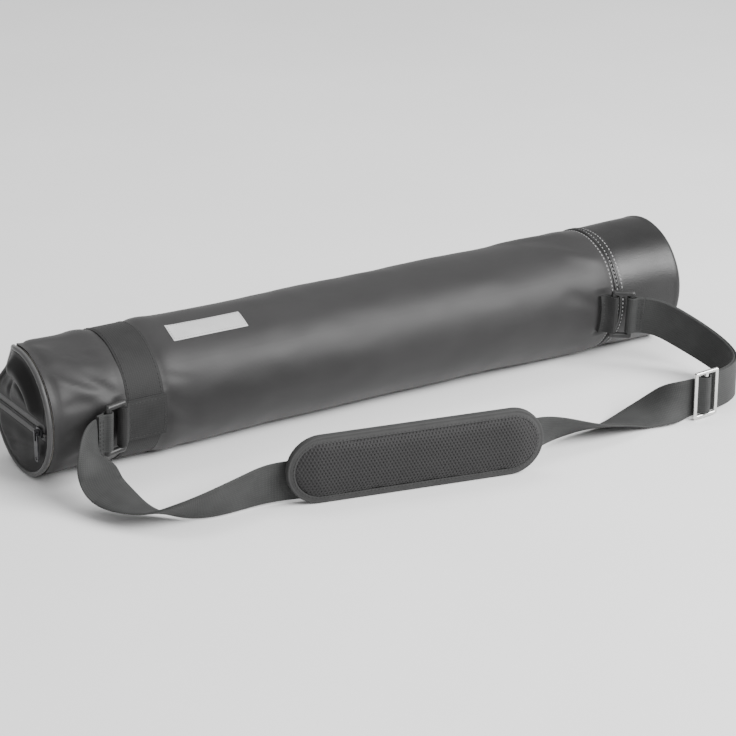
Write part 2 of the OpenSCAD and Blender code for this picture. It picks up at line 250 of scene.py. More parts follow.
def board_material():
    s = Shade("board_mat", Specular_IOR_Level=0.3)
    vec = s.objects()
    fibre = s.noise(s.node("Mapping", Vector=vec, Scale=(30.0, 400.0, 60.0)), 3.0, 5.0)
    s.colour(s.ramp(fibre, (0.20, 0.15, 0.10), (0.38, 0.31, 0.22)))
    s.rough(fibre, 0.7, 0.9)
    s.bump(fibre, 0.3, 0.0003)
    return s.mat


# ---------- mesh helpers ----------
def make(name, shape, material, slot, node=None, body=None, sharp=42, recalc=True):
    """A piece from (vertices, faces, uvs) that stands for a CAD node and rides on a body."""
    verts, faces, uvs = shape
    mesh = bpy.data.meshes.new(name)
    mesh.from_pydata([tuple(v) for v in verts], [], faces)
    if uvs:
        layer = mesh.uv_layers.new(name="cloth")
        for loop in mesh.loops:
            layer.data[loop.index].uv = uvs[loop.vertex_index]
    if recalc:
        bm = bmesh.new()
        bm.from_mesh(mesh)
        bmesh.ops.recalc_face_normals(bm, faces=bm.faces)
        bm.to_mesh(mesh)
        bm.free()
    mesh.polygons.foreach_set("use_smooth", [True] * len(mesh.polygons))
    mesh.set_sharp_from_angle(angle=math.radians(sharp))
    mesh.materials.append(material)
    obj = bpy.data.objects.new(name, mesh)
    bpy.context.scene.collection.objects.link(obj)
    if node:
        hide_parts(node)
    if body:
        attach(obj, body)
    return obj


def grid_solid(nu, nv, outer, inner, uv=None):
    """Vertices, faces and uvs of a closed shell between two (u, v) surfaces."""
    verts, uvs, faces = [], [], []
    for side in (outer, inner):
        for i in range(nu + 1):
            for j in range(nv + 1):
                verts.append(side(i / nu, j / nv))
                uvs.append(uv(i / nu, j / nv) if uv else (0, 0))
    n = (nu + 1) * (nv + 1)

    def at_ij(s, i, j):
        return s * n + i * (nv + 1) + j

    for i in range(nu):
        for j in range(nv):
            quad = [at_ij(0, i, j), at_ij(0, i + 1, j), at_ij(0, i + 1, j + 1), at_ij(0, i, j + 1)]
            faces.append(quad)
            faces.append([q + n for q in reversed(quad)])
    for i in range(nu):
        for j in (0, nv):
            faces.append([at_ij(0, i, j), at_ij(0, i + 1, j), at_ij(1, i + 1, j), at_ij(1, i, j)])
    for j in range(nv):
        for i in (0, nu):
            faces.append([at_ij(0, i, j), at_ij(0, i, j + 1), at_ij(1, i, j + 1), at_ij(1, i, j)])
    return verts, faces, uvs if uv else None


def join(parts):
    """One shape from several."""
    verts, faces, uvs = [], [], []
    for v, f, u in parts:
        faces += [[k + len(verts) for k in face] for face in f]
        verts += v
        uvs += u or []
    return verts, faces, uvs or None


def sweep(centres, wide, thin, profile, closed=False):
    """Profile of (wide, thin) offsets carried along centres."""
    verts, faces, uvs, far = [], [], [], 0.0
    m, n = len(profile), len(centres)
    for i, c in enumerate(centres):
        far += (c - centres[i - 1]).length if i else 0.0
        across = 0.0
        for k, (a, b) in enumerate(profile):
            verts.append(c + wide[i] * a + thin[i] * b)
            if k:
                across += math.dist(profile[k], profile[k - 1])
            uvs.append((far, across))
    for i in range(n if closed else n - 1):
        for k in range(m):
            a, b = i * m + k, i * m + (k + 1) % m
            c, d = (i + 1) % n * m + (k + 1) % m, (i + 1) % n * m + k
            faces.append([a, b, c, d])
    if not closed:
        faces.append(list(range(m)))
        faces.append([(n - 1) * m + k for k in range(m)])
    return verts, faces, uvs


def round_profile(w, t, cuts=6):
    """Flat webbing with soft edges."""
    top = [(-w / 2 + w * k / cuts, t / 2) for k in range(cuts + 1)]
    top[0] = (-w / 2 + 0.3 * t, t / 2)
    top[-1] = (w / 2 - 0.3 * t, t / 2)
    side = [(w / 2 - 0.08 * t, 0.3 * t), (w / 2, 0.0), (w / 2 - 0.08 * t, -0.3 * t)]
    other = [(-a, -b) for a, b in side]
    return top + side + [(-a, -b) for a, b in top] + other


def stitches(lines, length=2.6 * MM, space=1.3 * MM, r=0.35 * MM):
    """Thread stitches along lines of (point, normal)."""
    verts, faces = [], []
    for line in lines:
        total = [0.0]
        for a, b in zip(line, line[1:]):
            total.append(total[-1] + (b[0] - a[0]).length)

        def on(s):
            k = max(i for i in range(len(total)) if total[i] <= s + 1e-12)
            k = min(k, len(line) - 2)
            t = (s - total[k]) / max(total[k + 1] - total[k], 1e-9)
            return line[k][0].lerp(line[k + 1][0], t), line[k][1].lerp(line[k + 1][1], t).normalized()

        count = int(total[-1] / (length + space))
        for q in range(count):
            s0 = q * (length + space) + space / 2
            rings = [(0.0, 0.35, -0.6), (0.25, 1.0, 0.2), (0.75, 1.0, 0.2), (1.0, 0.35, -0.6)]
            base = len(verts)
            for f, size, lift in rings:
                p, n = on(s0 + f * length)
                p2, _ = on(min(s0 + f * length + 0.2 * MM, total[-1]))
                t = (p2 - p).normalized() if (p2 - p).length > 1e-9 else Vector((1, 0, 0))
                b = t.cross(n).normalized()
                for k in range(5):
                    w = 2 * math.pi * k / 5
                    high, side = lift * r + size * r * math.cos(w), size * r * 1.3 * math.sin(w)
                    verts.append(p + n * high + b * side)
            for g in range(3):
                for k in range(5):
                    a, b = base + g * 5 + k, base + g * 5 + (k + 1) % 5
                    faces.append([a, b, b + 5, a + 5])
            faces.append([base + k for k in range(5)])
            faces.append([base + 15 + k for k in range(5)])
    return verts, faces, None


def sew(name, lines, material, slot, body, *size):
    """Rows of stitches as a piece of their own."""
    return make(name, stitches(lines, *size), material, slot, body=body)


# ---------- strap ----------
# The strap's route: x, y, z in metres and the lean of its upper edge in degrees
ROUTE = [
    (-0.3136, -0.0741, 0.054, 5), (-0.3174, -0.075, 0.0539, 5), (-0.3245, -0.081, 0.0505, -17),
    (-0.326, -0.091, 0.044, -50), (-0.327, -0.1, 0.034, -86), (-0.331, -0.1115, 0.0245, -108),
    (-0.3265, -0.128, 0.0185, -106), (-0.318, -0.148, 0.013, -83), (-0.303, -0.1665, 0.01, -68),
    (-0.2845, -0.183, 0.0155, -44), (-0.2585, -0.1885, 0.019, -24), (-0.228, -0.1855, 0.0205, -12),
    (-0.198, -0.1825, 0.0215, -2), (-0.1525, -0.1935, 0.021, 0), (0.02, -0.2295, 0.021, 0),
    (0.0595, -0.2165, 0.0215, -9), (0.0965, -0.21, 0.017, -38), (0.1325, -0.21, 0.011, -63),
    (0.164, -0.2085, 0.0065, -75), (0.1875, -0.203, 0.0045, -93), (0.2045, -0.2055, 0.0095, -113),
    (0.218, -0.2145, 0.017, -142), (0.234, -0.222, 0.022, -180), (0.258, -0.22, 0.022, -180),
    (0.282, -0.218, 0.022, -180), (0.306, -0.209, 0.022, -180), (0.324, -0.191, 0.022, -180),
    (0.332, -0.165, 0.025, -180), (0.329, -0.137, 0.032, -180), (0.318, -0.112, 0.042, -180),
    (0.306, -0.0935, 0.051, -178), (0.2986, -0.0852, 0.053, -177), (0.2922, -0.081, 0.0534, -175.8)]
PAD_AT = Vector((-0.066, -0.2115, 0))
PAD_TURN = math.atan2(-36, 172.5)
KEEPER_X = 0.060
STRAIGHT = 13    # from this point to the next the strap runs straight, behind the pad
DOUBLE = 23      # at the slide, where the second layer starts
SMOOTHINGS = 26  # passes that take small kinks out of the line


def cubic(a, b, c, d, t):
    """Smooth curve from b to c."""
    return [0.5 * (2 * q + (r - p) * t + (2 * p - 5 * q + 4 * r - s) * t * t
                   + (3 * q - p - 3 * r + s) * t ** 3) for p, q, r, s in zip(a, b, c, d)]


def strap_line(step=3 * MM):
    """Finely spaced (x, y, z, lean) along the route."""
    start, end = (Vector(p[:3]) for p in ROUTE[STRAIGHT:STRAIGHT + 2])
    extra = [tuple(start + (end - start) * (k / 6)) + (0,) for k in range(1, 6)]
    pts = ROUTE[:STRAIGHT + 1] + extra + ROUTE[STRAIGHT + 1:]
    pts = [pts[0]] + list(pts) + [pts[-1]]
    line = []
    for k in range(1, len(pts) - 2):
        gap = (Vector(pts[k + 1][:3]) - Vector(pts[k][:3])).length
        n = max(2, round(gap / step))
        line += [cubic(*pts[k - 1:k + 3], j / n) for j in range(n)]
    line.append(list(pts[-1]))
    for _ in range(SMOOTHINGS):
        inner = [[(a + 2 * b + c) / 4 for a, b, c in zip(*line[i - 1:i + 2])]
                 for i in range(1, len(line) - 1)]
        line = [line[0], *inner, line[-1]]
    return line


def strap_frames(line):
    """Centres, directions across the webbing, and directions out of its face."""
    c = [Vector(p[:3]) for p in line]
    wide, thin = [], []
    for i, p in enumerate(line):
        t = (c[min(i + 1, len(c) - 1)] - c[max(i - 1, 0)]).normalized()
        u = (Vector((0, 0, 1)) - t * t.z).normalized()
        a = math.radians(p[3])
        e = (u * math.cos(a) + u.cross(t) * math.sin(a)).normalized()
        wide.append(e)
        thin.append(e.cross(t).normalized())
    return c, wide, thin


def build_strap(mats):
    """The shoulder strap in two lengths that meet inside a keeper behind the pad."""
    line = strap_line()
    c, wide, thin = strap_frames(line)
    along = Vector((math.cos(PAD_TURN), math.sin(PAD_TURN), 0))
    cut = next(i for i, p in enumerate(c) if (p - PAD_AT).dot(along) > KEEPER_X and p.x < 0.1)
    profile = round_profile(WEB_W, WEB_T)
    pieces = {}
    for name, a, b in (("strap_left", 0, cut + 1), ("strap_right", cut, len(c))):
        shape = sweep(c[a:b], wide[a:b], thin[a:b], profile)
        pieces[name] = make(name, shape, mats["strap"], "strap_webbing"), c[a:b]
    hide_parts("strap")
    double = min(range(len(c)), key=lambda i: (c[i] - Vector(ROUTE[DOUBLE][:3])).length)
    off = -2.3 * MM
    inner = [p + n * off for p, n in zip(c[double:], thin[double:])]
    shape = sweep(inner, wide[double:], thin[double:], profile)
    back = make("strap_back_layer", shape, mats["strap"], "strap_webbing", "strap_return")
    pieces["strap_back_layer"] = back, inner
    return pieces


def move_straps(pieces):
    """Bake each length of webbing's placement into its mesh."""
    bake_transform(pieces["strap_left"][0])
    for name in ("strap_right", "strap_back_layer"):
        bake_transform(pieces[name][0])


def declare_straps(pieces, right_pieces):
    right_pieces = right_pieces + [pieces["strap_back_layer"][0]]


# ---------- rings, loops and tabs ----------
RING_A = math.radians(-5)
BAR_R = 67 * MM
LEFT_BAR = -284 * MM
RIGHT_BAR = 265 * MM


def bar_frame(x, side, lean):
    """Centre of a ring's inner bar, direction away from the tab, face and bar directions."""
    a = math.radians(lean)
    away = Vector((side * math.cos(a), 0, 0)) + out(RING_A) * math.sin(a)
    bar = Vector((0, math.sin(RING_A), math.cos(RING_A)))
    return at(x, BAR_R, RING_A), away, away.cross(bar) * -side, bar


def loop_path(away, face, c, gap, reach, bar_r=3.0 * MM, t=1.8 * MM):
    """Closed-off wrap around a bar at distance gap, from one sewn end round to the other."""
    mid = c + away * gap
    r = bar_r + t / 2 + 0.15 * MM
    flat = 1.15 * MM
    pts = [mid + away * reach + face * flat, mid + away * (reach * 0.6) + face * flat]
    lead = 4.6 * MM
    pts.append(mid + away * lead + face * (flat + 0.7 * MM))
    for k in range(11):
        a = math.radians(50 + 26 * k)
        pts.append(mid + away * (r * math.cos(a)) + face * (r * math.sin(a)))
    pts.append(mid + away * lead - face * (flat + 0.7 * MM))
    pts += [mid + away * (reach * 0.6) - face * flat, mid + away * reach - face * flat]
    return pts


def dense(pts, n=4):
    p = [pts[0]] + list(pts) + [pts[-1]]
    res = []
    for k in range(1, len(p) - 2):
        res += [Vector(cubic(*p[k - 1:k + 3], j / n)) for j in range(n)]
    return res + [pts[-1]]


def turning_frames(pts, bar):
    thin = []
    for i in range(len(pts)):
        t = (pts[min(i + 1, len(pts) - 1)] - pts[max(i - 1, 0)]).normalized()
        thin.append(bar.cross(t).normalized())
    return [bar] * len(pts), thin


def strap_loop(name, node, body, mats, x, side, lean):
    c, away, face, bar = bar_frame(x, side, lean)
    pts = dense(loop_path(away, face, c, 18 * MM, 12.2 * MM))
    wide, thin = turning_frames(pts, bar)
    shape = sweep(pts, wide, thin, round_profile(WEB_W, WEB_T))
    obj = make(name, shape, mats["strap"], "strap_webbing", node, body)
    lines = []
    for s in (7.2, 10.6):
        for sign in (1, -1):
            base = c + away * ((18 + s) * MM) + face * (sign * 2.1 * MM)
            lines.append([(base + bar * ((k / 8 - 0.5) * 33 * MM), face * sign) for k in range(9)])
    return [obj, sew(name + "_thread", lines, mats["thread"], "strap_webbing", body)]


def tab(name, node, mats, x, side, r0, x0, x1):
    """Webbing sewn flat to the tube, running round the ring's bar and back under itself."""
    bar = bar_frame(x, side, 0)[3]
    r = 3.0 * MM + 0.9 * MM + 0.3 * MM
    half = WEB_W / 2

    def on_arc(xx, rr, v):
        return at(xx, rr, RING_A + v / R)

    far = x1 if side < 0 else x0
    near = x - side * 6.5 * MM
    path = [(far, r0 + 2.7 * MM), (far + side * 3 * MM, r0 + 2.8 * MM),
            (near - side * 6 * MM, r0 + 2.9 * MM), (near, r0 + 3.6 * MM)]
    for k in range(11):
        a = math.radians(115 - 23 * k)
        path.append((x + side * r * math.cos(a), BAR_R + r * math.sin(a)))
    path += [(near, r0 + 1.3 * MM), (near - side * 6 * MM, r0 + 1.0 * MM), (far, r0 + 0.9 * MM)]
    path = dense([Vector((*p, 0)) for p in path], 3)
    last = len(path) - 1
    run = [0.0]
    for p, q in zip(path, path[1:]):
        run.append(run[-1] + (q - p).length)

    def face(lift):
        def point(u, w):
            i = round(u * last)
            t = (path[min(i + 1, last)] - path[max(i - 1, 0)]).normalized()
            q = path[i] + Vector((-t.y, t.x, 0)) * lift
            v = (w - 0.5) * 2 * half
            near_bar = smooth(1 - abs(path[i].x - x) / (9 * MM))
            return on_arc(q.x, q.y, v).lerp(at(q.x, q.y, RING_A) + bar * v, near_bar)
        return point

    shape = grid_solid(last, 14, face(WEB_T / 2), face(-WEB_T / 2),
                       lambda u, w: (run[round(u * last)], w * WEB_W))
    make(name, shape, mats["band"], "band_webbing", node, "bag")
    lo, hi = min(near, far) + 2.5 * MM, max(near, far) - 2.5 * MM
    top, seam = r0 + 2.8 * MM + 0.9 * MM, half - 3 * MM
    along = [lo + (hi - lo) * k / 8 for k in range(9)]
    across = [-seam + (WEB_W - 6 * MM) * k / 12 for k in range(13)]
    lines = [[(on_arc(xx, top, v), out(RING_A + v / R)) for xx in along] for v in (-seam, seam)]
    lines += [[(on_arc(xx, top, v), out(RING_A + v / R)) for v in across] for xx in (lo, hi)]
    sew(name + "_thread", lines, mats["thread"], "band_webbing", "bag")


# The zipped end is pushed in at its back, above the zip. In mm: how far, the length it fades over, and
# where the push starts and the distance it grows over, in y and in z
PUSH, PUSH_FADE, PUSH_Y, PUSH_Z = 13, 70, (4, 46), (62, 26)


def end_shift(p):
    """How far the zipped end is pushed in at its back: point moved towards the tube."""
    y, z = p.y / MM, p.z / MM
    near = 1 - smooth((p.x - SKIN_LO.x) / (PUSH_FADE * MM))
    high = PUSH * smooth((y - PUSH_Y[0]) / PUSH_Y[1]) * smooth((z - PUSH_Z[0]) / PUSH_Z[1])
    return Vector((p.x + high * MM * near, p.y, p.z))


# ---------- skin ----------
# Creases of the skin: x and distance round from the front in mm at both ends, depth, width
CREASES = [
    (-342, 60, -286, 24, -1.1, 5), (-340, 48, -292, 12, 0.9, 6), (-338, 20, -290, 22, -0.8, 5),
    (-343, 84, -300, 50, 0.9, 7), (-336, -14, -296, 6, -0.9, 5), (-333, -30, -298, -12, 0.8, 6),
    (-340, 100, -290, 84, -0.9, 8), (-322, 72, -284, 58, -0.7, 5), (-236, 8, -206, -14, -0.8, 6),
    (-236, -12, -190, -34, 0.8, 7), (-237, 30, -212, 22, -0.5, 5), (-236, 62, -200, 74, -0.7, 8),
    (-180, 96, -120, 70, -0.6, 14), (-60, 84, 10, 100, -0.8, 18), (40, 10, 110, -8, -0.5, 14),
    (205, 100, 262, 64, -1.0, 9), (225, 70, 266, 44, 0.8, 8), (216, 20, 256, 2, -0.9, 7),
    (228, -16, 262, -26, 0.7, 8), (180, 120, 250, 96, 0.9, 12), (130, 88, 200, 100, -0.7, 14)]


def crease(x, s):
    h = 0.0
    for x0, s0, x1, s1, deep, w in CREASES:
        dx, ds = x1 - x0, s1 - s0
        long = math.hypot(dx, ds)
        t = ((x - x0) * dx + (s - s0) * ds) / long
        if t < -14 or t > long + 14:
            continue
        q = ((x - x0) * ds - (s - s0) * dx) / long
        if abs(q) > 3 * w:
            continue
        ends = smooth((t + 12) / 24), smooth((long + 12 - t) / 24)
        h += 1.7 * deep * math.exp(-(q / w) ** 2) * ends[0] * ends[1]
    return h


def skin_r(x, a):
    """Radius of the padded skin."""
    s = a * R / MM
    xm = x / MM
    wave = noise.noise(Vector((xm / 95, math.cos(a) * 0.9, math.sin(a) * 0.9 + 7)))
    fine = noise.noise(Vector((xm / 26, math.cos(a) * 3.1 + 3, math.sin(a) * 3.1)))
    h = 1.9 * wave + 0.45 * fine + crease(xm, s)
    band_lo, band_hi = BAND_LO.x / MM, BAND_HI.x / MM
    edge = min(abs(xm - band_lo), abs(xm - band_hi))
    inside = band_lo < xm < band_hi
    puff = 1.3 * math.exp(-((edge - 13) / 11) ** 2) - 1.0 * math.exp(-(edge / 4) ** 2)
    h += -0.8 if inside else puff
    end = xm - SKIN_LO.x / MM
    h += -1.2 * math.exp(-((end - 5) / 2.5) ** 2) + 0.6 * math.exp(-((end - 14) / 7) ** 2)
    seam = WELT_LO.x / MM - xm
    h += -0.9 * math.exp(-(seam / 4) ** 2) + 1.0 * math.exp(-((seam - 20) / 14) ** 2)
    from_zip = abs((a - ZIP_A + math.pi) % (2 * math.pi) - math.pi)
    calm = smooth((from_zip - math.radians(9)) / math.radians(10))
    tab_l = smooth((abs(xm + 262) - 24) / 8) if abs(a - RING_A) < math.radians(22) else 1.0
    tab_r = smooth((abs(xm - 262) - 8) / 8) if abs(a - RING_A) < math.radians(22) else 1.0
    h = h * calm * min(tab_l, tab_r)
    return R + (h if h > -0.5 else -0.5 - 0.6 * (1 - math.exp((h + 0.5) / 0.6))) * MM


def grounded(p):
    return Vector((p.x, p.y, max(p.z, 0.0003)))


def shell(x0, x1, a0, a1, r):
    """Surface between two ends and two angles, at a radius that is a number or varies."""
    def point(u, v):
        x, a = x0 + (x1 - x0) * u, a0 + (a1 - a0) * v
        return end_shift(grounded(at(x, r(x, a) if callable(r) else r, a)))
    return point


def skin_half(name, node, mats, a0, a1, x1, na, body=None):
    span = SKIN_LO.x, x1, a0, a1
    shape = grid_solid(200, na, shell(*span, skin_r), shell(*span, R - 1.45 * MM))
    return make(name, shape, mats["skin"], "skin_nylon", node, body)


def plain_half(name, node, material, slot, r1, r0, a0, a1, x0, x1, nx, na):
    shape = grid_solid(nx, na, shell(x0, x1, a0, a1, r1), shell(x0, x1, a0, a1, r0),
                       lambda a, b: ((x1 - x0) * a, (a1 - a0) * R * b))
    return make(name, shape, material, slot, node)


# The x of this point splits the lining over the fold into two lengths
FLAP_TO = (-0.10, 0, 0.12)


def bend_with_flap(obj):
    """Bake a long piece of the flap's placement into its mesh."""
    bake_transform(obj)


def build_tube(mats):
    x_end = WELT_LO.x + 1 * MM
    skin_half("skin_lower", "lower_skin", mats, ZIP_A - 2 * math.pi + TAPE_A, FOLD_A, x_end, 84, "bag")
    upper = skin_half("skin_upper", "upper_skin", mats, FOLD_A, ZIP_A - TAPE_A, x_end, 62)
    span = FOLD_A + 0.003, ZIP_A - 0.0025, SKIN_LO.x, x_end, 90, 30
    foam = plain_half("foam_upper", "upper_foam", mats["foam"], "foam", R - 1.5 * MM, R - 6.5 * MM, *span)
    lining = plain_half("lining_upper", "upper_lining", mats["lining"], "lining",
                        R - 6.5 * MM, R - 7.1 * MM, *span)
    for obj in (upper, foam, lining):
        bend_with_flap(obj)
    fold_lining(mats, SKIN_LO.x + 1.5 * MM)


LAP_A = 0.16  # angle that the lining over the fold reaches on each side


def fold_lining(mats, x0):
    """Lining over the fold's inside, in two lengths that meet at FLAP_TO's x."""
    r, a0, a1 = R - 7.8 * MM, FOLD_A - LAP_A, FOLD_A + LAP_A
    for name, lo, hi, fade in (("fold_lining_end", x0, FLAP_TO[0], 0),
                               ("fold_lining_mid", FLAP_TO[0], 0.24, 1)):
        obj = plain_half(name, None, mats["lining"], "lining", r + 0.3 * MM, r - 0.3 * MM,
                         a0, a1, lo, hi, 60, 10)
        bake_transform(obj)


def build_band(mats):
    """Webbing band sewn round the tube, in two lengths."""
    x0, x1 = BAND_LO.x, BAND_HI.x
    spans = [("band_lower", "lower_band", "bag", ZIP_A - 2 * math.pi + TAPE_A, FOLD_A, 84),
             ("band_upper", "upper_band", "flap", FOLD_A, ZIP_A - TAPE_A, 62)]
    for name, node, body, a0, a1, na in spans:
        def outer(u, v):
            r = R + 0.6 * MM - 0.5 * MM * math.exp(-(min(u, 1 - u) / 0.02) ** 2)
            return shell(x0, x1, a0, a1, r)(u, v)

        shape = grid_solid(26, na, outer, shell(x0, x1, a0, a1, R - 1.2 * MM),
                           lambda p, q: (q * (a1 - a0) * R, p * WEB_W))
        make(name, shape, mats["band"], "band_webbing", node, body)
        angles = [a0 + (a1 - a0) * k / 60 for k in range(61)]
        angles = [a for a in angles if abs(a + math.pi / 2) > math.radians(6)]
        lines = [[(end_shift(at(x, R + 0.62 * MM, a)), out(a)) for a in angles if at(x, R, a).z > 1.5 * MM]
                 for x in (x0 + 2.6 * MM, x1 - 2.6 * MM)]
        sew(name + "_thread", lines, mats["thread"], "band_webbing", body)


def build_strip(mats):
    """Blank woven strip sewn to the skin."""
    lo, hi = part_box("name_strip")
    a0, a1 = math.radians(56), math.radians(76)
    long, wide = 78, 21

    def top(u, v, lift=0.5 * MM):
        x, a = lo.x + (hi.x - lo.x) * u, a0 + (a1 - a0) * v
        edge = min(u * long, (1 - u) * long, v * wide, (1 - v) * wide)
        return at(x, skin_r(x, a) + lift - 0.3 * MM * math.exp(-(edge / 0.6) ** 2), a)

    shape = grid_solid(60, 22, top, lambda u, v: top(u, v, -0.6 * MM), lambda u, v: (u * 0.078, v * 0.021))
    make("blank_strip", shape, mats["strip"], "blank_strip", "name_strip", "flap")
    corners = [(0.02, 0.08), (0.98, 0.08), (0.98, 0.92), (0.02, 0.92), (0.02, 0.08)]
    lines = []
    for p, q in zip(corners, corners[1:]):
        line = []
        for k in range(13):
            u, w = p[0] + (q[0] - p[0]) * k / 12, p[1] + (q[1] - p[1]) * k / 12
            line.append((top(u, w) + out(a0 + (a1 - a0) * w) * 0.05 * MM, out(a0 + (a1 - a0) * w)))
        lines.append(line)
    sew("blank_strip_thread", lines, mats["pale_thread"], "blank_strip", "flap",
        2.0 * MM, 1.0 * MM, 0.25 * MM)


# ---------- leatherette base end ----------
def sleeve_r(x, a):
    """Leatherette wall: slightly waisted next to the seam, a little fuller at the end."""
    s = (x - SLEEVE_LO.x) / (SLEEVE_HI.x - SLEEVE_LO.x)
    n = noise.noise(Vector((x * 22, math.cos(a) * 1.6, math.sin(a) * 1.6)))
    h = 0.9 * n + 0.9 * smooth(s * 1.6) - 0.7 * math.exp(-(s / 0.05) ** 2)
    h += 0.5 * math.exp(-((s - 0.93) / 0.035) ** 2) - 2.2 * smooth((s - 0.965) / 0.035)
    return R + h * MM


def build_base(mats):
    span = SLEEVE_LO.x - 0.5 * MM, SLEEVE_HI.x, 0, 2 * math.pi
    shape = weld(grid_solid(56, 150, shell(*span, sleeve_r), shell(*span, R - 3.2 * MM)))
    make("sleeve", shape, mats["leather"], "leatherette", "base_sleeve", "bag")

    lo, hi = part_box("base_disc")
    rim = R - 3.0 * MM

    def face(u, v):
        r = rim * u
        a = 2 * math.pi * v
        n = noise.noise(Vector((3.1, u * 2.2 * math.cos(a), u * 2.2 * math.sin(a))))
        dish = -0.9 * MM * math.exp(-((1 - u) / 0.05) ** 2) - 0.7 * MM + 0.35 * MM * n
        return at(hi.x + dish + 0.6 * MM * (1 - u * u), r, a)

    shape = grid_solid(30, 120, face, lambda u, v: at(lo.x - 3 * MM, rim * u, 2 * math.pi * v))
    make("end_disc", weld(shape), mats["leather"], "leatherette", "base_disc", "bag")
    ring = [at(hi.x - 0.9 * MM, rim - 7 * MM, 2 * math.pi * k / 90) for k in range(91)]
    sew("end_disc_thread", [[(p, Vector((1, 0, 0))) for p in ring]], mats["thread"], "leatherette", "bag")


def weld(shape):
    """Join vertices at the same place, and drop collapsed faces and inner walls."""
    verts, faces, _ = shape
    seen, index, kept, found = {}, [], [], {}
    for p in verts:
        key = tuple(round(c * 1e6) for c in p)
        if key not in seen:
            seen[key] = len(kept)
            kept.append(p)
        index.append(seen[key])
    for f in faces:
        g = []
        for k in f:
            if index[k] not in g:
                g.append(index[k])
        if len(g) > 2:
            found.setdefault(frozenset(g), []).append(g)
    return kept, [same[0] for same in found.values() if len(same) == 1], None


def build_welt(mats):
    """Two raised ridges with bright thread beside each."""
    x0, x1 = WELT_LO.x, WELT_HI.x
    pitch = (x1 - x0) / 2

    def outer(u, v):
        x, a = x0 + (x1 - x0) * u, 2 * math.pi * v
        phase = ((x - x0) / pitch) % 1.0 if u < 1 else 1.0
        h = 1.3 * math.sin(math.pi * phase) ** 0.6 - 0.4
        h += 0.12 * math.sin(a * 120)
        return grounded(at(x, R + h * MM, a))

    shape = grid_solid(20, 200, outer, shell(x0, x1, 0, 2 * math.pi, R - 3 * MM))
    make("seam_double", weld(shape), mats["leather"], "leatherette", "seam_welt", "bag", sharp=70)
    lines = []
    for x, r, surface in ((x0 - 2.2 * MM, R + 0.15 * MM, skin_r), (x0 + pitch, R, lambda x, a: R),
                          (x1 + 2.2 * MM, R + 0.15 * MM, sleeve_r)):
        angles = [2 * math.pi * k / 160 - math.radians(80) for k in range(160)]
        angles = [a for a in angles if a < math.radians(261) and at(x, r, a).z > 1.5 * MM]
        lines.append([(at(x, surface(x, a), a), out(a)) for a in angles])
    sew("seam_thread", lines, mats["pale_thread"], "leatherette", "bag", 2.8 * MM, 1.4 * MM, 0.42 * MM)


# ---------- zipped end ----------
PANEL_R = R - 5 * MM
PANEL_X = -354 * MM
FOLD_Y = -51.03 * MM


def puff(y, z, top):
    """How far the padded end bulges at a point; zero at its rim."""
    rho = math.hypot(y, z - AXIS_Z) / PANEL_R
    rim = smooth((1 - rho) / 0.22)
    n = noise.noise(Vector((y * 40, z * 40, 2 if top else 9)))
    if top:
        lift = smooth((z - ZIP_Z - 8 * MM) / (12 * MM))
        turn = math.atan2(z - AXIS_Z, -y)
        roll = 6.2 * math.exp(-((rho - 0.72) / 0.17) ** 2) * smooth((math.radians(135) - turn) / 0.7)
        fold = -2.6 * math.exp(-((rho - 0.47 - 0.05 * math.cos(3 * turn)) / 0.06) ** 2)
        full = 3.0 + roll + fold + 1.0 * n
    else:
        lift = smooth((ZIP_Z - 8 * MM - z) / (12 * MM))
        tuck = -1.5 * math.exp(-((z - AXIS_Z + 31 * MM + 0.2 * y) / (3.5 * MM)) ** 2)
        full = 3.2 + tuck + 1.0 * n
    return max(0.0, full * rim * lift) * MM


def panel_grid(y0, y1, low, high, top, nu, nv, front=0.0, thick=1.5 * MM):
    """Part of the end between two heights; it bulges only where it is the outermost layer."""
    def surface(depth, bulges):
        def point(u, v):
            y = y0 + (y1 - y0) * u
            z = low(y) + (high(y) - low(y)) * v
            return end_shift(Vector((PANEL_X + depth - (puff(y, z, top) if bulges else 0), y, z)))
        return point

    v, f, _ = grid_solid(nu, nv, surface(front, front == 0), surface(front + thick, False))
    return v, f, [(p.y, p.z) for p in v]


def arc(y, sign):
    return AXIS_Z + sign * math.sqrt(max(PANEL_R ** 2 - y * y, 0.0))


def build_end(mats):
    lim = PANEL_R - 0.15 * MM
    low_z, up_z = ZIP_Z - 7.6 * MM, ZIP_Z + 7.6 * MM
    wide_low = math.sqrt(PANEL_R ** 2 - (AXIS_Z - low_z) ** 2) - 0.1 * MM
    shape = join([
        panel_grid(-wide_low, wide_low, lambda y: arc(y, -1), lambda y: low_z, False, 60, 34),
        panel_grid(-lim, FOLD_Y - 0.2 * MM, lambda y: max(arc(y, -1), low_z), lambda y: arc(y, 1),
                   True, 8, 20)])
    make("end_lower", shape, mats["end"], "end_nylon", "lower_end_panel", "bag")
    shape = panel_grid(FOLD_Y + 0.2 * MM, lim, lambda y: up_z, lambda y: arc(y, 1), True, 60, 34)
    make("end_upper", shape, mats["end"], "end_nylon", "upper_end_panel", "flap")
    rim = PANEL_R - 2.4 * MM
    shape = panel_grid(FOLD_Y + 0.6 * MM, rim, lambda y: ZIP_Z + 1 * MM,
                       lambda y: AXIS_Z + math.sqrt(max(rim ** 2 - y * y, 0.0)), True, 40, 12,
                       1.6 * MM, 4.6 * MM)
    make("end_foam_upper", shape, mats["foam"], "foam", "upper_end_foam", "flap")
    build_piping(mats)


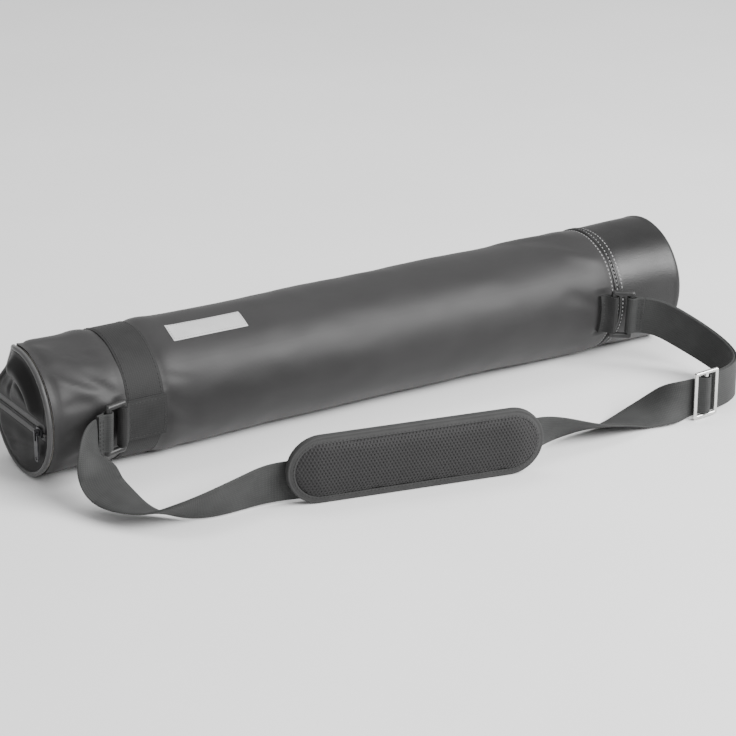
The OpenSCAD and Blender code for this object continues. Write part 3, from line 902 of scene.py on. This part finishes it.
def build_piping(mats):
    """Corded edge with its seam allowance running back under the hem of the skin."""
    x = SKIN_LO.x - 3.5 * MM
    spans = [("piping_lower", "lower_piping", "bag", ZIP_A - 2 * math.pi + 0.02, FOLD_A, 110),
             ("piping_upper", "upper_piping", "flap", FOLD_A, ZIP_A - 0.02, 80)]
    for name, node, body, a0, a1, n in spans:
        c, wide, thin = [], [], []
        for k in range(n + 1):
            a = a0 + (a1 - a0) * k / n
            wob = 0.25 * MM * noise.noise(Vector((a * 9, 0, 4)))
            c.append(grounded(at(x, R - 2.5 * MM + wob, a)))
            wide.append(Vector((1, 0, 0)))
            thin.append(out(a))
        turns = [2 * math.pi * k / 14 for k in range(14)]
        cord = [(2.45 * MM * math.cos(t), 2.45 * MM * math.sin(t)) for t in turns]
        hem = [(0.0, -1.2 * MM), (7 * MM, -0.9 * MM), (7 * MM, -0.1 * MM), (2.6 * MM, -0.6 * MM),
               (0.0, 0.4 * MM)]
        v, f, u = join([sweep(c, wide, thin, cord), sweep(c, wide, thin, hem)])
        shape = [end_shift(grounded(p)) for p in v], f, u
        make(name, shape, mats["piping"], "piping", node, body)


# ---------- zip ----------
END_Y = 54 * MM


def zip_x(y):
    """Face of the tape across the end, tucked in towards the piping at both sides."""
    return PANEL_X + 0.2 * MM + 1.0 * MM * smooth((abs(y) - 48 * MM) / (7 * MM))


def tape_across(y0, z0, z1, n=60):
    def face(u, v):
        y = y0 + (END_Y - y0) * u
        z = z0 + (z1 - z0) * v
        edge = min(v, 1 - v)
        fold = 0.5 * MM * math.exp(-(edge / 0.12) ** 2)
        return end_shift(Vector((zip_x(y) - 0.35 * MM + fold, y, z)))

    def back(u, v):
        p = face(u, v)
        return Vector((p.x + 0.9 * MM, p.y, p.z))

    return grid_solid(n, 10, face, back, lambda u, v: ((END_Y - y0) * u, abs(z1 - z0) * v))


def tape_along(a0, a1):
    x0, x1 = SKIN_LO.x, WELT_LO.x

    def face(u, v):
        r = R + 0.1 * MM - 0.5 * MM * math.exp(-(min(v, 1 - v) / 0.1) ** 2)
        return shell(x0, x1, a0, a1, r)(u, v)

    return grid_solid(120, 8, face, shell(x0, x1, a0, a1, R - 0.9 * MM),
                      lambda u, v: ((x1 - x0) * u, 8 * MM * v))


TOOTH = 1.7 * MM  # from one tooth of the zip to the next


def coil(start, axis, up, face, count, side):
    """Row of hooked coil teeth from start along axis, on one side of the middle."""
    verts, faces = [], []
    hook = [(-0.12, 0.2), (0.25, 0.9), (1.0, 1.15), (1.75, 0.9), (1.95, 0.2)]
    shift, w = 1.0 if side > 0 else 0.5, TOOTH * 0.36
    for k in range(count):
        p = start + axis * ((k + shift) * TOOTH)
        base = len(verts)
        for across, tall in hook:
            c, h = p + up * (side * across * MM), face * (tall * MM)
            verts += [c - axis * w, c - axis * w * 0.55 + h, c + axis * w * 0.55 + h, c + axis * w]
        for g in range(4):
            for q in range(4):
                a, b = base + g * 4 + q, base + g * 4 + (q + 1) % 4
                faces.append([a, b, b + 4, a + 4])
        faces.append([base + q for q in range(4)])
        faces.append([base + 16 + q for q in range(4)])
    return verts, faces, None


def row_across(y0, side):
    parts = []
    for k in range(int((END_Y - 4 * MM - y0) / TOOTH)):
        y = y0 + k * TOOTH
        start = end_shift(Vector((zip_x(y) - 0.3 * MM, y, ZIP_Z)))
        parts.append(coil(start, Vector((0, 1, 0)), Vector((0, 0, 1)), Vector((-1, 0, 0)), 1, side))
    return join(parts)


def row_along(side):
    x0, x1 = SKIN_LO.x, WELT_LO.x - 6 * MM
    start = at(x0, R + 0.1 * MM, ZIP_A)
    up = -Vector((0, math.sin(ZIP_A), math.cos(ZIP_A)))
    v, f, _ = coil(start, Vector((1, 0, 0)), up, out(ZIP_A), int((x1 - x0) / TOOTH) - 1, side)
    return [end_shift(p) for p in v], f, None


def build_zip(mats):
    gap = 0.15 * MM / R
    tape, teeth = (mats["tape"], "zip_tape"), (mats["coil"], "zip_coil")
    low = join([tape_along(ZIP_A + gap, ZIP_A + TAPE_A),
                tape_across(-END_Y, ZIP_Z - 8 * MM, ZIP_Z - 0.15 * MM)])
    make("tape_lower", low, *tape, "lower_zip_tape", "bag")
    low = join([row_along(-1), row_across(-END_Y + 4 * MM, -1)])
    make("teeth_lower", low, *teeth, "lower_zip_teeth", "bag")
    side = tape_along(ZIP_A - TAPE_A, ZIP_A - gap)
    bend_with_flap(make("tape_upper_side", side, *tape, "upper_zip_tape"))
    end = tape_across(FOLD_Y + 0.3 * MM, ZIP_Z + 0.15 * MM, ZIP_Z + 8 * MM)
    make("tape_upper_end", end, *tape, body="flap")
    bend_with_flap(make("teeth_upper_side", row_along(1), *teeth, "upper_zip_teeth"))
    make("teeth_upper_end", row_across(FOLD_Y + 1 * MM, 1), *teeth, body="flap")


# ---------- shoulder pad ----------
PAD_H = 64 * MM
PAD_REACH = (247 - 64) / 2 * MM
PAD_BACK = 1.6 * MM


def pad_point(x, depth, z):
    """Point in the pad's own directions: along, towards the front, up."""
    c, s = math.cos(PAD_TURN), math.sin(PAD_TURN)
    return PAD_AT + Vector((x * c + depth * s, x * s - depth * c, z))


def pad_dir(x, depth, z):
    return pad_point(x, depth, z) - PAD_AT


def stadium(inset, k, n=168):
    """Point k of n round the pad's outline, moved in by inset, and its direction out."""
    r = PAD_H / 2 - inset
    straight = 4 * PAD_REACH
    round_it = 2 * math.pi * (PAD_H / 2 - 0.3 * PAD_H / 2)
    s = (k % n) / n * (straight + round_it)
    q = (straight + round_it) / 2
    sign = 1 if s < q else -1
    s = s % q
    if s < 2 * PAD_REACH:
        p, a = (-PAD_REACH + s, r), math.pi / 2
    else:
        a = math.pi / 2 - (s - 2 * PAD_REACH) / (q - 2 * PAD_REACH) * math.pi
        p = (PAD_REACH + r * math.cos(a), r * math.sin(a))
    return sign * p[0], PAD_H / 2 + sign * p[1], (sign * math.cos(a), sign * math.sin(a))


def pad_depth(inset, front):
    """Depth of the pad's face at a distance in from its edge."""
    full = 1 - math.exp(-max(inset - 3 * MM, 0) / (8 * MM))
    if front:
        return PAD_BACK + (8.0 + 3.8 * full) * MM
    return PAD_BACK + (2.6 - 2.4 * full) * MM


def pad_body():
    """Closed crowned slab, before it is filled."""
    n, rings = 168, [1.2, 2.2, 4, 6, 8, 11, 15, 19, 24, 28, 31.4]
    verts, faces = [], []
    for front in (True, False):
        for d in rings:
            for k in range(n):
                x, z, _ = stadium(d * MM, k, n)
                verts.append(pad_point(x, pad_depth(d * MM, front), z))
    m = len(rings) * n
    for side in (0, m):
        for i in range(len(rings) - 1):
            for k in range(n):
                a, b = side + i * n + k, side + i * n + (k + 1) % n
                faces.append([a, b, b + n, a + n] if side == 0 else [a + n, b + n, b, a])
        faces.append([side + (len(rings) - 1) * n + k for k in range(n)])
    for k in range(n):
        faces.append([k, m + k, m + (k + 1) % n, (k + 1) % n])
    return verts, faces, None


def fill_with_air(obj, pressure=4.0, cap=2.2 * MM, voxel=5 * MM):
    """Swell a closed mesh with a short cloth simulation."""
    mod = obj.modifiers.new("remesh", "REMESH")
    mod.mode, mod.voxel_size = "VOXEL", voxel
    bake_modifiers(obj)
    start = [v.co.copy() for v in obj.data.vertices]
    cloth = obj.modifiers.new("cloth", "CLOTH")
    cloth.settings.use_pressure = True
    cloth.settings.uniform_pressure_force = pressure
    cloth.settings.effector_weights.gravity = 0
    cloth.settings.quality = 4
    cloth.settings.tension_stiffness = 25
    cloth.settings.bending_stiffness = 2
    scene = bpy.context.scene
    scene.frame_start, scene.frame_end = 1, 20
    for k in range(1, 21):
        scene.frame_set(k)
    bake_modifiers(obj)
    for v, s in zip(obj.data.vertices, start):
        move = v.co - s
        if move.length > cap:
            v.co = s + move * (cap / move.length)
    scene.frame_set(1)
    sub = obj.modifiers.new("subdivision", "SUBSURF")
    sub.levels = sub.render_levels = 1
    bake_modifiers(obj)


def bake_modifiers(obj):
    graph = bpy.context.evaluated_depsgraph_get()
    mesh = bpy.data.meshes.new_from_object(obj.evaluated_get(graph))
    obj.modifiers.clear()
    old = obj.data
    obj.data = mesh
    mesh.name = obj.name
    bpy.data.meshes.remove(old)
    mesh.polygons.foreach_set("use_smooth", [True] * len(mesh.polygons))


def mesh_cloth(tree, mats):
    """Open hexagon mesh laid over the front of the filled pad."""
    pitch = 3.3 * MM
    ahead = pad_dir(0, 1, 0)
    verts, faces, keys = [], [], {}

    def put(x, z, level):
        key = (round(x / MM, 2), round(z / MM, 2), level)
        if key not in keys:
            origin = pad_point(x, 40 * MM, z)
            hit = tree.ray_cast(origin, -ahead)[0]
            p = hit if hit is not None else pad_point(x, 10 * MM, z)
            keys[key] = len(verts)
            verts.append(p + ahead * ({0: 0.75, 1: 0.55, 2: -0.4}[level] * MM))
        return keys[key]

    row, z = 0, 2.0 * MM
    while z < PAD_H:
        x = -0.123 + (pitch / 2 if row % 2 else 0)
        while x < 0.123:
            over = max(abs(x) - PAD_REACH, 0)
            if math.hypot(over, z - PAD_H / 2) < PAD_H / 2 - 5.2 * MM:
                outer, rim, low = [], [], []
                for k in range(6):
                    a = math.radians(30 + 60 * k)
                    ca, sa = math.cos(a), math.sin(a)
                    outer.append(put(x + ca * pitch / 1.732, z + sa * pitch / 1.732, 0))
                    rim.append(put(x + ca * pitch * 0.30, z + sa * pitch * 0.30, 1))
                    low.append(put(x + ca * pitch * 0.25, z + sa * pitch * 0.25, 2))
                for k in range(6):
                    j = (k + 1) % 6
                    faces.append([outer[k], outer[j], rim[j], rim[k]])
                    faces.append([rim[k], rim[j], low[j], low[k]])
            x += pitch
        z += pitch * 0.866
        row += 1
    shape = verts, faces, None
    return make("pad_net", shape, mats["net"], "pad_mesh", "pad_mesh", "pad", sharp=80, recalc=False)


def build_pad(mats):
    obj = make("pad_body", pad_body(), mats["pad_back"], "pad_back", sharp=60)
    fill_with_air(obj)
    obj.data.materials.clear()
    obj.data.materials.append(mats["pad_back"])
    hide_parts("pad_foam", "pad_backing")
    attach(obj, "pad")
    bm = bmesh.new()
    bm.from_mesh(obj.data)
    tree = BVHTree.FromBMesh(bm)
    net = mesh_cloth(tree, mats)
    bm.free()
    return [obj, net, *pad_binding(mats), pad_keepers(mats)]


def pad_binding(mats):
    """Ribbed tape folded over the edge, with a row of stitches on both faces."""
    n = 168
    section = []
    for d in (7.0, 6.2, 4.8, 3.2, 1.8, 0.7):
        section.append((d, pad_depth(d * MM, True) / MM + 0.7 - 0.25 * (d > 6.5)))
    mid = (pad_depth(0, True) + pad_depth(0, False)) / 2 / MM
    section += [(0.1, mid + 2.6), (0.0, mid), (0.1, mid - 2.6)]
    for d in (0.7, 1.8, 3.2, 4.8, 6.2, 7.0):
        section.append((d, pad_depth(d * MM, False) / MM - 0.6 + 0.2 * (d > 6.5)))
    inner = [(d + 0.9 if 0 < d < 6.5 else max(d, 0.9), y) for d, y in reversed(section)]
    ins = [(d, y + (0.8 if y < mid else -0.8)) for d, y in inner]
    loop = section + ins
    verts, faces, uvs = [], [], []
    for k in range(n):
        run = 0.0
        for q, (d, y) in enumerate(loop):
            x, z, _ = stadium(d * MM, k, n)
            p = pad_point(x, y * MM, z)
            verts.append(Vector((p.x, p.y, max(p.z, 0.0002))))
            run += math.dist(loop[q], loop[q - 1]) * MM if q else 0
            uvs.append((k * 0.0034, run))
    m = len(loop)
    for k in range(n):
        for q in range(m):
            a, b = k * m + q, k * m + (q + 1) % m
            c, e = (k + 1) % n * m + (q + 1) % m, (k + 1) % n * m + q
            faces.append([a, b, c, e])
    shape = verts, faces, uvs
    obj = make("pad_edge", shape, mats["binding"], "pad_binding", "pad_binding", "pad", sharp=60)
    lines = []
    for front in (True, False):
        sign = 1 if front else -1
        face = pad_dir(0, sign, 0)
        line = []
        for k in range(n + 1):
            x, z, _ = stadium(5.6 * MM, k % n, n)
            y = pad_depth(5.6 * MM, front) + (0.75 if front else -0.65) * MM
            line.append((pad_point(x, y, z), face))
        lines.append(line)
    thread = sew("pad_edge_thread", lines, mats["thread"], "pad_binding", "pad", 2.4 * MM, 1.3 * MM, 0.3 * MM)
    return [obj, thread]


def pad_keepers(mats):
    """Two webbing keepers behind the pad that hold the strap."""
    parts = []
    for x0 in (-KEEPER_X, KEEPER_X):
        path = [(2.5, 49), (2.2, 44.5), (0.9, 42.6), (-0.9, 42.3), (-2.0, 40.5), (-2.3, 36), (-2.3, 21),
                (-2.3, 6), (-2.0, 1.8), (-0.9, 0.9), (0.6, 0.8), (1.7, 1.1)]
        path = dense([Vector((0, y * MM, z * MM)) for y, z in path], 3)
        c = [pad_point(x0, p.y, p.z) for p in path]
        wide, thin = turning_frames(c, pad_dir(1, 0, 0))
        parts.append(sweep(c, wide, thin, round_profile(20 * MM, 0.9 * MM)))
    return make("keepers", join(parts), mats["band"], "band_webbing", "pad_keepers", "pad")


# ---------- slide ----------
def build_slide(mats):
    """Webbing that rises through the slide, over its middle bar and back."""
    lo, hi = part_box("strap_slide")
    at_slide = Vector(ROUTE[DOUBLE][:3])
    turn = math.atan2(4, 48)
    along = Vector((math.cos(turn), math.sin(turn), 0))
    ahead = Vector((math.sin(turn), -math.cos(turn), 0))
    mid = Vector((at_slide.x, at_slide.y, (lo.z + hi.z) / 2 - 1.2 * MM))
    path = [(-12.5, 1.5), (-9.5, 1.9), (-7, 3.2), (-4.6, 5.8), (-2.4, 8.0), (0, 8.7), (2.4, 8.0), (4.6, 5.8),
            (7, 3.2), (9.5, 1.9), (12.5, 1.5)]
    pts = dense([mid + along * (x * MM) + ahead * (y * MM) for x, y in path], 3)
    wide, thin = turning_frames(pts, Vector((0, 0, 1)))
    shape = sweep(pts, wide, thin, round_profile(WEB_W - 1 * MM, 1.4 * MM))
    return [make("slide_webbing", shape, mats["strap"], "strap_webbing", "slide_loop", "slide")]


# ---------- everything ----------
# Cloth: dark and light tone with a warm tint, thread spacing in mm both ways, depth of weave, roughness,
# and then its coordinates, sheen and specular level where they aren't woven()'s own
CLOTH = {
    "skin": ((0.012, 0.03), (0.024, 0.03), (1.1, 1.1), 0.16, (0.47, 0.60), "tube", 0.05, 0.38),
    # The end's tones are darker than the skin's, though both are the same black nylon: painted shade for the
    # end, which faces away from the key light
    "end": ((0.004, 0.03), (0.009, 0.03), (1.1, 1.1), 0.16, (0.40, 0.54), "end", 0.0, 0.2),
    "piping": ((0.024,), (0.052,), (1.2, 1.2), 0.3, (0.42, 0.58), "strip"),
    "band": ((0.014,), (0.033,), (1.5, 2.2), 0.45, (0.55, 0.75), "strip", 0.03, 0.2),
    "strap": ((0.025, -0.02), (0.056, -0.02), (1.5, 2.2), 0.45, (0.55, 0.75), "strip", 0.03, 0.2),
    "tape": ((0.02,), (0.05,), (1.0, 1.0), 0.4, (0.55, 0.75), "strip"),
    "binding": ((0.024,), (0.052,), (1.1, 2.6), 0.4, (0.55, 0.75), "strip", 0.03, 0.25),
    "pad_back": ((0.016,), (0.034,), (1.0, 1.0), 0.3, (0.7, 0.9)),
    "net": ((0.014, 0.03), (0.030, 0.03), (0.8, 0.8), 0.3, (0.55, 0.75), "object", 0.03, 0.25),
    "lining": ((0.018,), (0.040,), (0.9, 0.9), 0.3, (0.6, 0.8)),
    "strip": ((0.42,), (0.58,), (0.8, 0.8), 0.3, (0.5, 0.7), "strip"),
    "thread": ((0.018,), (0.042,), (0.5, 0.5), 0.3, (0.5, 0.7), "object", 0.03, 0.25),
    "pale_thread": ((0.22,), (0.40,), (0.5, 0.5), 0.3, (0.45, 0.65))}


def make_materials():
    m = {key: woven(key + "_mat", grey(*dark), grey(*light), *rest)
         for key, (dark, light, *rest) in CLOTH.items()}
    m["leather"] = leatherette()
    m["foam"] = foam_material()
    m["board"] = board_material()
    m["chrome"] = metal("slide_mat", (0.55, 0.55, 0.54), (0.74, 0.74, 0.72), (0.16, 0.30))
    m["zip_metal"] = metal("zip_metal_mat", (0.045, 0.045, 0.048), (0.11, 0.11, 0.115), (0.28, 0.42))
    m["stop"] = metal("stop_mat", (0.35, 0.35, 0.34), (0.5, 0.5, 0.49), (0.25, 0.4))
    m["ring"] = plastic("ring_mat", grey(0.008), grey(0.018), (0.34, 0.48))
    m["coil"] = plastic("coil_mat", grey(0.010), grey(0.026), (0.28, 0.42))
    return m


def dress_cad(mats):
    """Better materials for the CAD pieces whose shapes stay."""
    for name, key in (("left_ring", "ring"), ("right_ring", "ring"), ("strap_slide", "chrome"),
                      ("zip_slider", "zip_metal"), ("zip_puller", "zip_metal"), ("zip_stops", "stop"),
                      ("base_board", "board"), ("base_lining", "lining"), ("lower_lining", "lining"),
                      ("lower_foam", "foam"), ("base_sleeve_foam", "foam"), ("lower_end_foam", "foam")):
        obj = frame["nodes"][name]
        for slot in obj.material_slots:
            slot.material = mats[key]


def area(name, place, aim, size, power):
    data = bpy.data.lights.new(name, "AREA")
    data.shape, data.size, data.size_y, data.energy = "RECTANGLE", size[0], size[1], power
    obj = bpy.data.objects.new(name, data)
    obj.location = place
    obj.rotation_euler = (Vector(place) - Vector(aim)).to_track_quat("Z", "Y").to_euler()
    bpy.context.scene.collection.objects.link(obj)


def studio():
    world = bpy.data.worlds.new("world")
    world.use_nodes = True
    world.node_tree.nodes["Background"].inputs[0].default_value = (1, 1, 1, 1)
    world.node_tree.nodes["Background"].inputs[1].default_value = 0.66
    bpy.context.scene.world = world
    area("key", (1.3, -2.1, 1.75), (0, 0, 0.06), (2.6, 1.3), 205)
    area("top", (0.2, 0.9, 2.6), (0, 0, 0.06), (2.4, 1.0), 22)
    verts = [(-6, -6, 0), (6, -6, 0), (6, 6, 0), (-6, 6, 0)]
    mesh = bpy.data.meshes.new("floor")
    mesh.from_pydata([(x, y, -0.0005) for x, y, _ in verts], [], [(0, 1, 2, 3)])
    s = Shade("floor_mat", Roughness=0.9, Specular_IOR_Level=0.1)
    s.colour(s.ramp(s.noise(s.objects(), 3.0), (0.86, 0.86, 0.86), (0.90, 0.90, 0.90)))
    mesh.materials.append(s.mat)
    obj = bpy.data.objects.new("floor", mesh)
    bpy.context.scene.collection.objects.link(obj)


def build():
    make_camera()
    mats = make_materials()
    straps = build_strap(mats)
    left = strap_loop("left_wrap", "left_strap_loop", "left_swivel", mats, LEFT_BAR, -1, 14)
    right = strap_loop("right_wrap", "right_strap_loop", "right_swivel", mats, RIGHT_BAR, 1, 30)
    slide = build_slide(mats)
    pad = build_pad(mats)
    move_straps(straps)
    declare_straps(straps, right + slide + [frame["nodes"]["strap_slide"]])
    tab("tab_left", "left_tab", mats, LEFT_BAR, -1, R + 1 * MM, LEFT_BAR + 1 * MM, BAND_HI.x)
    tab("tab_right", "right_tab", mats, RIGHT_BAR, 1, R, RIGHT_BAR - 12 * MM, WELT_LO.x)
    build_tube(mats)
    build_band(mats)
    build_strip(mats)
    build_base(mats)
    build_welt(mats)
    build_end(mats)
    build_zip(mats)
    dress_cad(mats)
    studio()


build()
